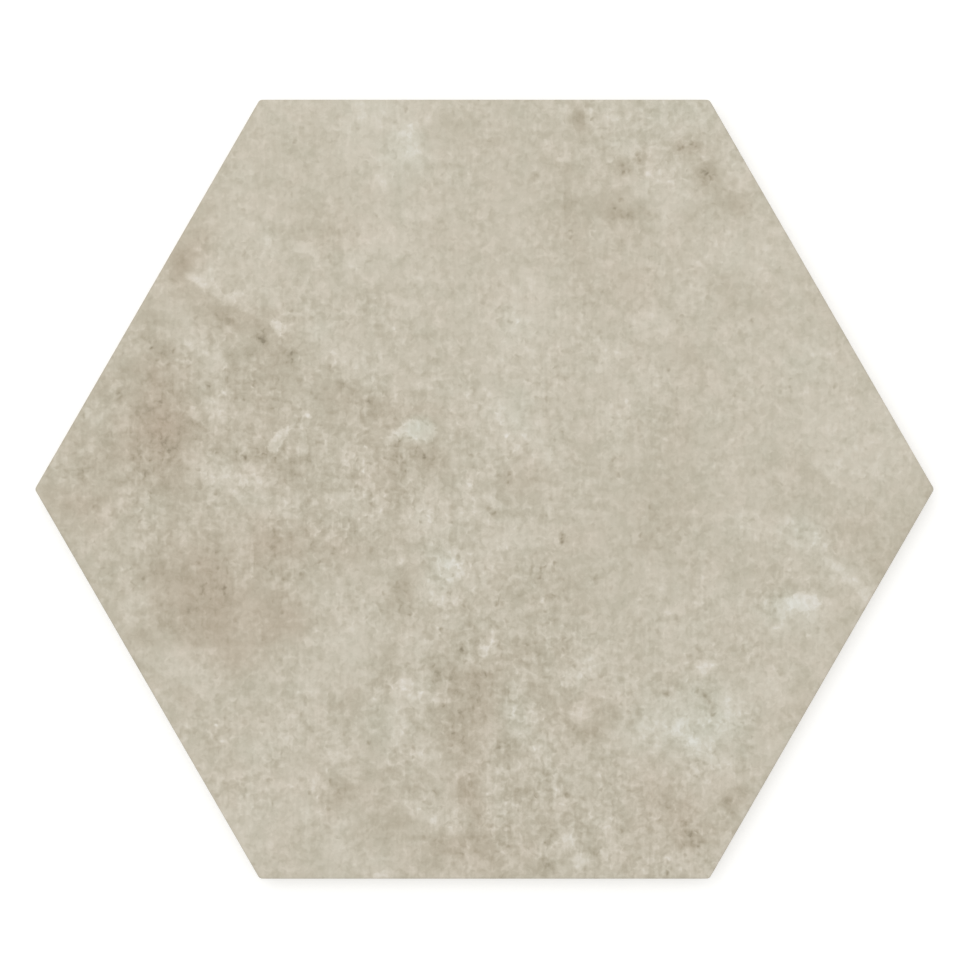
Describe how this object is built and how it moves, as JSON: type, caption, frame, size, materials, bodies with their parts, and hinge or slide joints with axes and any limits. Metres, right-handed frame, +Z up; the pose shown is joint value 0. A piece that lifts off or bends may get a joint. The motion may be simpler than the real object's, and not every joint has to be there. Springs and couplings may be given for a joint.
{
  "type": "hexagon floor tile",
  "caption": "Regular hexagonal glazed porcelain floor tile with a mottled beige stone look, a soft arris and a keyed back.",
  "frame": {"origin": "middle of the underside, in the plane that the tile lies on", "axes": "+Z up through the glazed face, +X towards a corner, +Y square to a side"},
  "size_m": [0.2676, 0.232, 0.009],
  "materials": {
    "glazed_porcelain": "matt"
  },
  "bodies": {
    "root": {"hexagon_tile": "glazed_porcelain"}
  },
  "joints": []
}
